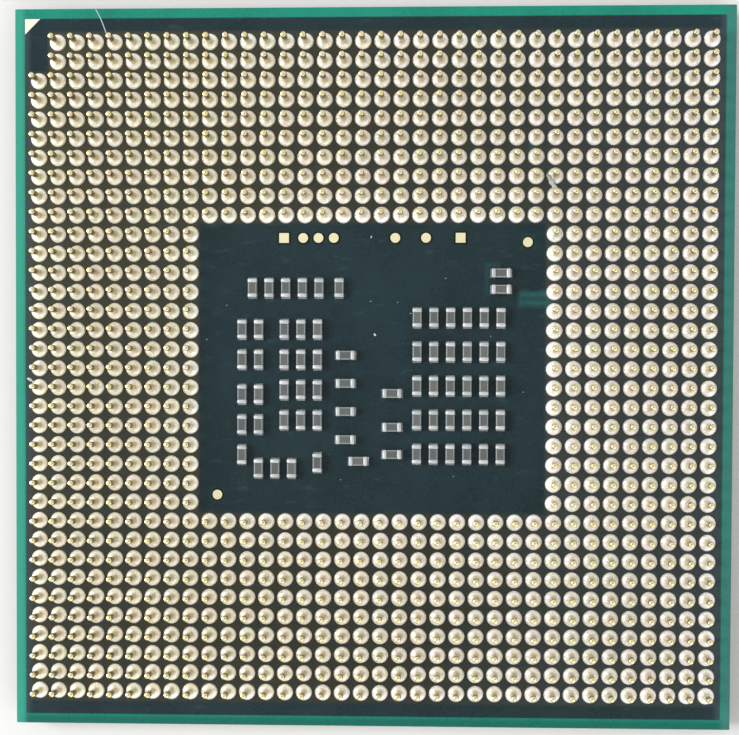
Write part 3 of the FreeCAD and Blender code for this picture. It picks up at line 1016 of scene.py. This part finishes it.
@dataclass
class Capacitors:
    """The chip capacitors: ceramic blocks, plated ends and solder fillets.

    Args:
        areas: The areas of the package whose fillets are one node each.
        seed: Start of the small differences between chips.
        end_round: Rounding of a plated end.
        block_round: Rounding of a ceramic block.
        highlight_band: How far the painted highlight along the long edges reaches in.
        angle: Angle up to which blocks and ends are shaded smooth, in degrees.
        fillet_waist: Where a fillet's hollow flank turns flat, as a share of its length.
        fillet_fall: How far the flank falls to the waist, as a share of the fillet's height.
        fillet_toe: How far it falls from there to its toe, as a share of the fillet's height.
        fillet_tone: Value of the attribute tone on a fillet.
    """

    areas: tuple[str, ...] = ("top", "left", "middle", "inner", "corner", "right")
    seed: int = 71
    end_round: float = 0.06 * MM
    block_round: float = 0.045 * MM
    highlight_band: float = 0.065 * MM
    angle: float = 50.0
    fillet_waist: float = 0.4
    fillet_fall: float = 0.66
    fillet_toe: float = 0.28
    fillet_tone: float = 0.5

    def rounded(self, name: str, size: Vector, rounding: float) -> Piece:
        """A block round the origin with rounded edges.

        Args:
            name: The piece's name.
            size: Its size.
            rounding: Width of the rounding.

        Returns:
            The master piece.
        """
        piece = Bench.block(name, -size / 2, size / 2)
        Bench.take(piece)
        bevel = piece.modifiers.new("rounding", "BEVEL")
        bevel.width = rounding
        bevel.segments = 2
        bpy.ops.object.modifier_apply(modifier=bevel.name)
        return piece

    def ceramic(self, size: Vector) -> Piece:
        """A ceramic block along X with its long edges marked for the painted highlight.

        Args:
            size: Its size.

        Returns:
            The master piece.
        """
        core = Vector((size.x, size.y - 2 * self.highlight_band, size.z))
        piece = Bench.block("ceramic_master", -core / 2, core / 2)
        for side in (-1, 1):
            with Bench.editing(piece, Part.FACE, lambda face: face.normal.y * side > FACING):
                Bench.extrude(0, side * self.highlight_band, 0)
        outer = size.y / 2 - self.highlight_band / 2

        def long_edge(edge: bmesh.types.BMEdge) -> bool:
            """True of the outer edges along the block."""
            first, second = (vertex.co for vertex in edge.verts)
            return min(abs(first.y), abs(second.y)) > outer and abs(first.x - second.x) > size.x / 2

        with Bench.editing(piece, Part.EDGE, long_edge):
            Bench.bevel(self.block_round)
        edge = piece.data.attributes.new("edge", "FLOAT", "POINT")
        inner = core.y / 2 + self.highlight_band / 10
        for vertex in piece.data.vertices:
            edge.data[vertex.index].value = 1.0 if abs(vertex.co.y) > inner else 0.0
        return piece

    def fillet(self, size: Vector) -> Piece:
        """A hollow solder fillet that falls away along +X.

        Args:
            size: Its size.

        Returns:
            The master piece.
        """
        low, high = -size / 2, size / 2
        waist = low.x + size.x * self.fillet_waist
        past = size.x / 10
        over_foot = low.z + size.z / 5
        piece = Bench.block("fillet_master", low, Vector((waist, high.y, high.z)))
        with Bench.editing(piece, Part.VERT, lambda end: end.co.z > 0 and end.co.x > low.x + past):
            bpy.ops.transform.translate(value=(0, 0, -size.z * self.fillet_fall))
        with Bench.editing(piece, Part.FACE, lambda face: face.normal.x > FACING):
            Bench.extrude(high.x - waist, 0, 0)
        with Bench.editing(piece, Part.VERT, lambda end: end.co.z > over_foot and end.co.x > waist + past):
            bpy.ops.transform.translate(value=(0, 0, -size.z * self.fillet_toe))
        return piece

    def turned(self, lie: Lie, far: bool = False) -> Matrix:
        """The turn from a master along X to a chip's own direction, and end for end where far is true."""
        angle = 0.0 if lie is Lie.ALONG_X else math.pi / 2
        return Matrix.Rotation(angle + (math.pi if far else 0.0), 4, "Z")

    def build(self) -> None:
        """Builds each group of chips, and the fillets of each area."""
        chance = random.Random(self.seed)
        chips: list[tuple[Vector, Lie]] = []
        for node in sorted(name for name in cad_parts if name.startswith("capacitors_")):
            group = node.removeprefix("capacitors_")
            blocks = solids(node)
            ends = solids(f"capacitor_ends_{group}")
            lies = [(middle_of(box), self.lie_of(box, ends)) for box in blocks]
            self.build_blocks(group, blocks, lies, [chance.random() for _ in blocks])
            self.build_ends(group, ends, [chance.random() for _ in ends])
            chips += lies
        for area in self.areas:
            self.build_fillets(area, chips)

    def lie_of(self, block: Box, ends: list[Box]) -> Lie:
        """Which way a chip lies, from where its nearest plated end is.

        Args:
            block: Box of its ceramic block.
            ends: Boxes of the group's plated ends.

        Returns:
            The chip's direction.
        """
        middle = middle_of(block)
        nearest = min(ends, key=lambda box: (middle_of(box) - middle).length)
        return Lie.of(middle_of(nearest) - middle)

    def build_blocks(self, group: str, blocks: list[Box], lies: list[tuple[Vector, Lie]],
                     tones: list[float]) -> None:
        """Builds a group's ceramic blocks.

        Args:
            group: The group's name.
            blocks: Their boxes.
            lies: Middle and direction of each chip.
            tones: Tone of each block.
        """
        size = blocks[0][1] - blocks[0][0]
        along = size if lies[0][1] is Lie.ALONG_X else Vector((size.y, size.x, size.z))
        moves = [Matrix.Translation(middle) @ self.turned(lie) for middle, lie in lies]
        piece = Bench.copies(f"ceramic_blocks_{group}", self.ceramic(along), moves, tones)
        Bench.smooth(piece, self.angle)
        show(piece, CERAMIC, "ceramic", f"capacitors_{group}")

    def build_ends(self, group: str, ends: list[Box], tones: list[float]) -> None:
        """Builds a group's plated ends.

        Args:
            group: The group's name.
            ends: Their boxes.
            tones: Tone of each end.
        """
        master = self.rounded("end_master", self.upright(ends[0]), self.end_round)
        moves = []
        for box in ends:
            spread = box[1] - box[0]
            lie = Lie.ALONG_X if spread.x < spread.y else Lie.ALONG_Y
            moves.append(Matrix.Translation(middle_of(box)) @ self.turned(lie))
        piece = Bench.copies(f"plated_ends_{group}", master, moves, tones)
        Bench.smooth(piece, self.angle)
        show(piece, TINNED, "tinned_ends", f"capacitor_ends_{group}")

    def build_fillets(self, area: str, chips: list[tuple[Vector, Lie]]) -> None:
        """Builds the fillets of one area.

        Args:
            area: The area's name.
            chips: Middle and direction of each chip on the package.
        """
        fillets = solids(f"capacitor_fillets_{area}")
        moves = []
        for box in fillets:
            middle = middle_of(box)
            chip, lie = min(chips, key=lambda entry: (entry[0].xy - middle.xy).length)
            apart = (middle - chip).x if lie is Lie.ALONG_X else (middle - chip).y
            moves.append(Matrix.Translation(middle) @ self.turned(lie, far=apart < 0))
        master = self.fillet(self.upright(fillets[0]))
        piece = Bench.copies(f"solder_fillets_{area}", master, moves, [self.fillet_tone] * len(moves))
        show(piece, FILLET, "solder", f"capacitor_fillets_{area}")

    def upright(self, box: Box) -> Vector:
        """Size of a box turned so that its shorter side lies along X."""
        size = box[1] - box[0]
        return Vector((min(size.x, size.y), max(size.x, size.y), size.z))


@dataclass
class Marks:
    """Test pads, alignment marks and corner marks, with a lip of mask round each pad.

    Args:
        outside: How far a lip runs out from its pad.
        inside: How far it laps over the pad.
        skin: Height of the lip over the pad.
        sunk: How far the lip's middle dips into the pad.
        sides: Flats round a round lip.
    """

    outside: float = 0.055 * MM
    inside: float = 0.02 * MM
    skin: float = 0.004 * MM
    sunk: float = 0.015 * MM
    sides: int = 32

    def build(self) -> None:
        """Dresses the pads and adds the lips."""
        lips = []
        for node in ("test_pads_round", "fiducial_left", "fiducial_right"):
            coat(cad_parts[node], PLATED)
            for low, high in solids(node):
                middle = middle_of((low, high))
                radius = (high.x - low.x) / 2 + self.outside
                lip = Bench.rod("lip", radius, low.z, high.z + self.skin, self.sides)
                lip.data.transform(Matrix.Translation((middle.x, middle.y, 0)))
                lips.append(self.open(lip))
        coat(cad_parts["test_pads_square"], PLATED)
        grown = Vector((self.outside, self.outside, 0))
        for low, high in solids("test_pads_square"):
            lips.append(self.open(Bench.block("lip", low - grown, high + grown + Vector((0, 0, self.skin)))))
        for node in ("corner_mark_pin_side", "corner_mark_die_side"):
            coat(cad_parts[node], PLATED_MARK)
        show(Bench.join("mask_lips", lips), OPENING, "solder_mask")

    def open(self, lip: Piece) -> Piece:
        """Sinks the middle of a lip's top, so that the pad shows in it.

        Args:
            lip: The lip as a full block or disc.

        Returns:
            The lip.
        """
        with Bench.editing(lip, Part.FACE, lambda face: face.normal.z > FACING):
            bpy.ops.mesh.inset(thickness=self.outside + self.inside, depth=0)
            Bench.extrude(0, 0, -self.sunk)
        return lip


@dataclass
class DieSide:
    """The two bare dies and their underfill.

    Args:
        skirt: Height of the underfill's edge, as a share of its climb.
        corner: Rounding of the underfill's corners, as a share of its spread.
        corner_steps: Flats round such a corner.
        flank: Steps of the hollow flank, each as shares of the spread and of the climb.
        angle: Angle up to which the underfill is shaded smooth, in degrees.
    """

    skirt: float = 0.08
    corner: float = 0.9
    corner_steps: int = 6
    flank: tuple[Pair, ...] = ((0.24, 0.06), (0.26, 0.14), (0.24, 0.26), (0.16, 0.46))
    angle: float = 50.0

    def build(self) -> None:
        """Dresses the dies and models the underfill's sunken flank."""
        for name in ("processor", "graphics"):
            coat(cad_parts[f"{name}_die"], SILICON)
            self.underfill(name)

    def underfill(self, name: str) -> None:
        """Models one underfill bed with a hollow flank.

        Args:
            name: The die's name.
        """
        low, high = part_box(f"{name}_underfill")
        die_low, die_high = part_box(f"{name}_die")
        spread = (high.x - low.x - (die_high.x - die_low.x)) / 2
        climb = high.z - low.z
        foot = high.z - climb * self.skirt
        piece = Bench.block(f"underfill_{name}", Vector((low.x, low.y, foot)), high)
        with Bench.editing(piece, Part.EDGE,
                           lambda edge: abs(edge.verts[0].co.z - edge.verts[1].co.z) > NEAR):
            Bench.bevel(spread * self.corner, self.corner_steps)
        with Bench.editing(piece, Part.FACE, lambda face: face.normal.z < -FACING):
            for inwards, upwards in self.flank:
                bpy.ops.mesh.inset(thickness=spread * inwards, depth=climb * upwards)
        Bench.smooth(piece, self.angle)
        show(piece, RESIN, "underfill_resin", f"{name}_underfill")


@dataclass(frozen=True)
class Fleck:
    """One ragged fleck that lies on the part, in millimetres and degrees.

    Args:
        across: Its place along X.
        along: Its place along Y.
        length: Its length.
        width: Its width.
        turn: Turn of its length from X.
        lift: Height of its middle over the mask.
    """

    across: float
    along: float
    length: float = 0.06
    width: float = 0.045
    turn: float = 0.0
    lift: float = 0.012

    def build(self, surface: float, seed: int) -> Piece:
        """Models the fleck.

        Args:
            surface: Height of the mask, in metres.
            seed: Start of its raggedness.

        Returns:
            The piece.
        """
        Bench.clear()
        thick = self.width / 2
        place = (self.across * MM, self.along * MM, surface + self.lift * MM)
        bpy.ops.mesh.primitive_ico_sphere_add(subdivisions=2, radius=MM / 2, location=place,
                                              rotation=(0, 0, math.radians(self.turn)),
                                              scale=(self.length, self.width, thick))
        piece = Bench.named("fleck")
        with Bench.editing(piece, Part.VERT, lambda vertex: True):
            bpy.ops.transform.vertex_random(offset=self.width * MM / 8, seed=seed)
        return piece


@dataclass
class Dust:
    """What lies on the part: flecks in the cavity, lint between the pins and a fine hair at the rear.

    Args:
        flecks: The flecks in the cavity.
        lint: The lumps of lint.
        hair: Points of the hair, in millimetres.
        hair_radius: The hair's radius.
        angle: Angle up to which flecks and lint are shaded smooth, in degrees.
    """

    flecks: tuple[Fleck, ...] = (
        Fleck(-0.04, 6.86, 0.15, 0.06, 78), Fleck(0.17, 1.78, 0.17, 0.1, -50), Fleck(3.84, 4.71, 0.07),
        Fleck(2.03, 2.89, 0.08, 0.04, 15), Fleck(-8.65, 1.52, 0.08), Fleck(1.35, 3.46), Fleck(-0.06, 3.51),
        Fleck(-7.6, 3.3), Fleck(4.3, -5.6, 0.07, 0.04, 20), Fleck(-1.6, -5.8), Fleck(6.2, 1.7),
        Fleck(7.9, -1.2))
    lint: tuple[Fleck, ...] = (
        Fleck(9.16, 9.92, 0.42, 0.2, -58, 0.2), Fleck(9.31, 9.68, 0.4, 0.3, -50, 0.19),
        Fleck(9.45, 9.42, 0.36, 0.24, -42, 0.17), Fleck(-18.02, -0.6, 0.34, 0.16, -28, 0.03),
        Fleck(-17.78, -0.74, 0.24, 0.12, -20, 0.1))
    hair: tuple[Triple, ...] = (
        (-14.4, 18.6, 2.5), (-14.25, 18.4, 3.1), (-14.0, 18.0, 3.6), (-13.8, 17.6, 3.9),
        (-13.62, 17.1, 3.93), (-13.5, 16.8, 3.7))
    hair_radius: float = 0.024 * MM
    angle: float = 60.0

    def build(self) -> None:
        """Builds the flecks, the lint and the hair."""
        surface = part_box("package_substrate")[1].z
        for name, group in (("dust_flecks", self.flecks), ("lint", self.lint)):
            piece = Bench.join(name, [fleck.build(surface, number) for number, fleck in enumerate(group)])
            Bench.smooth(piece, self.angle)
            show(piece, LINT, "solder_mask")
        self.build_hair()

    def build_hair(self) -> None:
        """Builds the hair as a thin tube along a smooth line."""
        curve = bpy.data.curves.new("hair", "CURVE")
        curve.dimensions = "3D"
        line = curve.splines.new("NURBS")
        line.points.add(len(self.hair) - 1)
        for point, place in zip(line.points, self.hair):
            point.co = (*(part * MM for part in place), 1.0)
        line.order_u = 3
        line.use_endpoint_u = True
        curve.bevel_depth = self.hair_radius
        curve.bevel_resolution = 1
        curve.use_fill_caps = True
        piece = bpy.data.objects.new("hair", curve)
        bpy.context.scene.collection.objects.link(piece)
        Bench.take(piece)
        bpy.ops.object.convert(target="MESH")
        show(bpy.context.active_object, LINT, "solder_mask")


@dataclass(frozen=True)
class Lamp:
    """A square lamp that looks at the origin.

    Args:
        name: Its name.
        place: Where it hangs, in metres.
        size: Its side, in metres.
        power: Its power, in watts.
    """

    name: str
    place: Triple
    size: float
    power: float

    def build(self) -> None:
        """Hangs the lamp."""
        data = bpy.data.lights.new(self.name, "AREA")
        data.size = self.size
        data.energy = self.power
        lamp = bpy.data.objects.new(self.name, data)
        lamp.location = self.place
        lamp.rotation_mode = "QUATERNION"
        lamp.rotation_quaternion = Vector(self.place).to_track_quat("Z", "Y")
        bpy.context.scene.collection.objects.link(lamp)


@dataclass
class Studio:
    """Floor, card, lamps, world and camera.

    Args:
        floor_side: Side of the floor, in metres.
        card_corners: Two corners of the card over the part, in millimetres.
        lamps: A soft key from the left and a broad fill from above.
        ambient: Strength of the world's light on dull surfaces.
        seen: What is added to it where the camera or a mirror sees the world.
        camera_place: The camera, in millimetres.
        camera_turn: Its turn about X, Y and Z, in degrees.
        focal_pixels: Focal length in pixels of the photograph.
        centre_drop: How far below the picture's middle the optical axis meets it, in pixels.
        centre_side: How far to the right of the picture's middle it meets it, in pixels.
        sensor: Width of the camera's sensor, in millimetres.
        clip: Nearest and farthest distance that the camera sees, in metres.
    """

    floor_side: float = 4.0
    card_corners: tuple[Triple, Triple] = ((-16.0, -70.0, 200.0), (62.0, 20.0, 201.0))
    lamps: tuple[Lamp, ...] = (
        Lamp("key", (-0.46, 0.02, 0.46), 0.3, 3.0), Lamp("fill", (0.25, -0.45, 0.6), 0.6, 1.4))
    ambient: float = 0.5
    seen: float = 0.6
    camera_place: Triple = (4.751, -3.594, 111.93)
    camera_turn: Triple = (-2.1763, 2.9412, 0.2131)
    focal_pixels: float = 2102.6
    centre_drop: float = 150.4
    centre_side: float = -15.4
    sensor: float = 36.0
    clip: Pair = (0.005, 10.0)

    def build(self) -> None:
        """Builds the studio."""
        self.floor()
        self.card()
        for lamp in self.lamps:
            lamp.build()
        self.world()
        self.camera()

    def floor(self) -> None:
        """Lays the floor."""
        Bench.clear()
        bpy.ops.mesh.primitive_plane_add(size=self.floor_side)
        floor = Bench.named("floor")
        coat(floor, FLOOR)

    def card(self) -> None:
        """Hangs a tan card over the part, which its shiny surfaces mirror."""
        card = Bench.block("card", *(Vector(corner) * MM for corner in self.card_corners))
        coat(card, CARD)

    def world(self) -> None:
        """Makes the world plain and pale, and white where the camera sees it."""
        world = bpy.data.worlds.new("studio")
        bpy.context.scene.world = world
        world.use_nodes = True
        world.node_tree.nodes.clear()
        graph = Graph(world.node_tree)
        path = graph.add("ShaderNodeLightPath")
        seen = graph.math("MAXIMUM", path.outputs["Is Camera Ray"], path.outputs["Is Glossy Ray"])
        strength = graph.math("ADD", self.ambient, graph.times(seen, self.seen))
        light = graph.add("ShaderNodeBackground", {"Color": (1.0, 1.0, 1.0, 1.0), "Strength": strength})
        graph.add("ShaderNodeOutputWorld", {"Surface": light.outputs[0]})

    def camera(self) -> None:
        """Adds the camera at the photograph's place."""
        data = bpy.data.cameras.new("camera")
        data.sensor_width = self.sensor
        data.lens = self.focal_pixels / PHOTO_WIDTH * self.sensor
        data.shift_x = -self.centre_side / PHOTO_WIDTH
        data.shift_y = self.centre_drop / PHOTO_WIDTH
        data.clip_start, data.clip_end = self.clip
        camera = bpy.data.objects.new("camera", data)
        camera.location = Vector(self.camera_place) * MM
        camera.rotation_euler = Euler([math.radians(angle) for angle in self.camera_turn], "XYZ")
        bpy.context.scene.collection.objects.link(camera)
        bpy.context.scene.camera = camera


def main() -> None:
    """Builds the looks piece by piece."""
    logging.basicConfig(level=logging.INFO, format="%(message)s")
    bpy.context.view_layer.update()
    bpy.context.scene.view_settings.view_transform = "Standard"
    for group in (Studio, Package, PinField, Capacitors, Marks, DieSide, Dust):
        group().build()


if __name__ == "__main__":
    main()
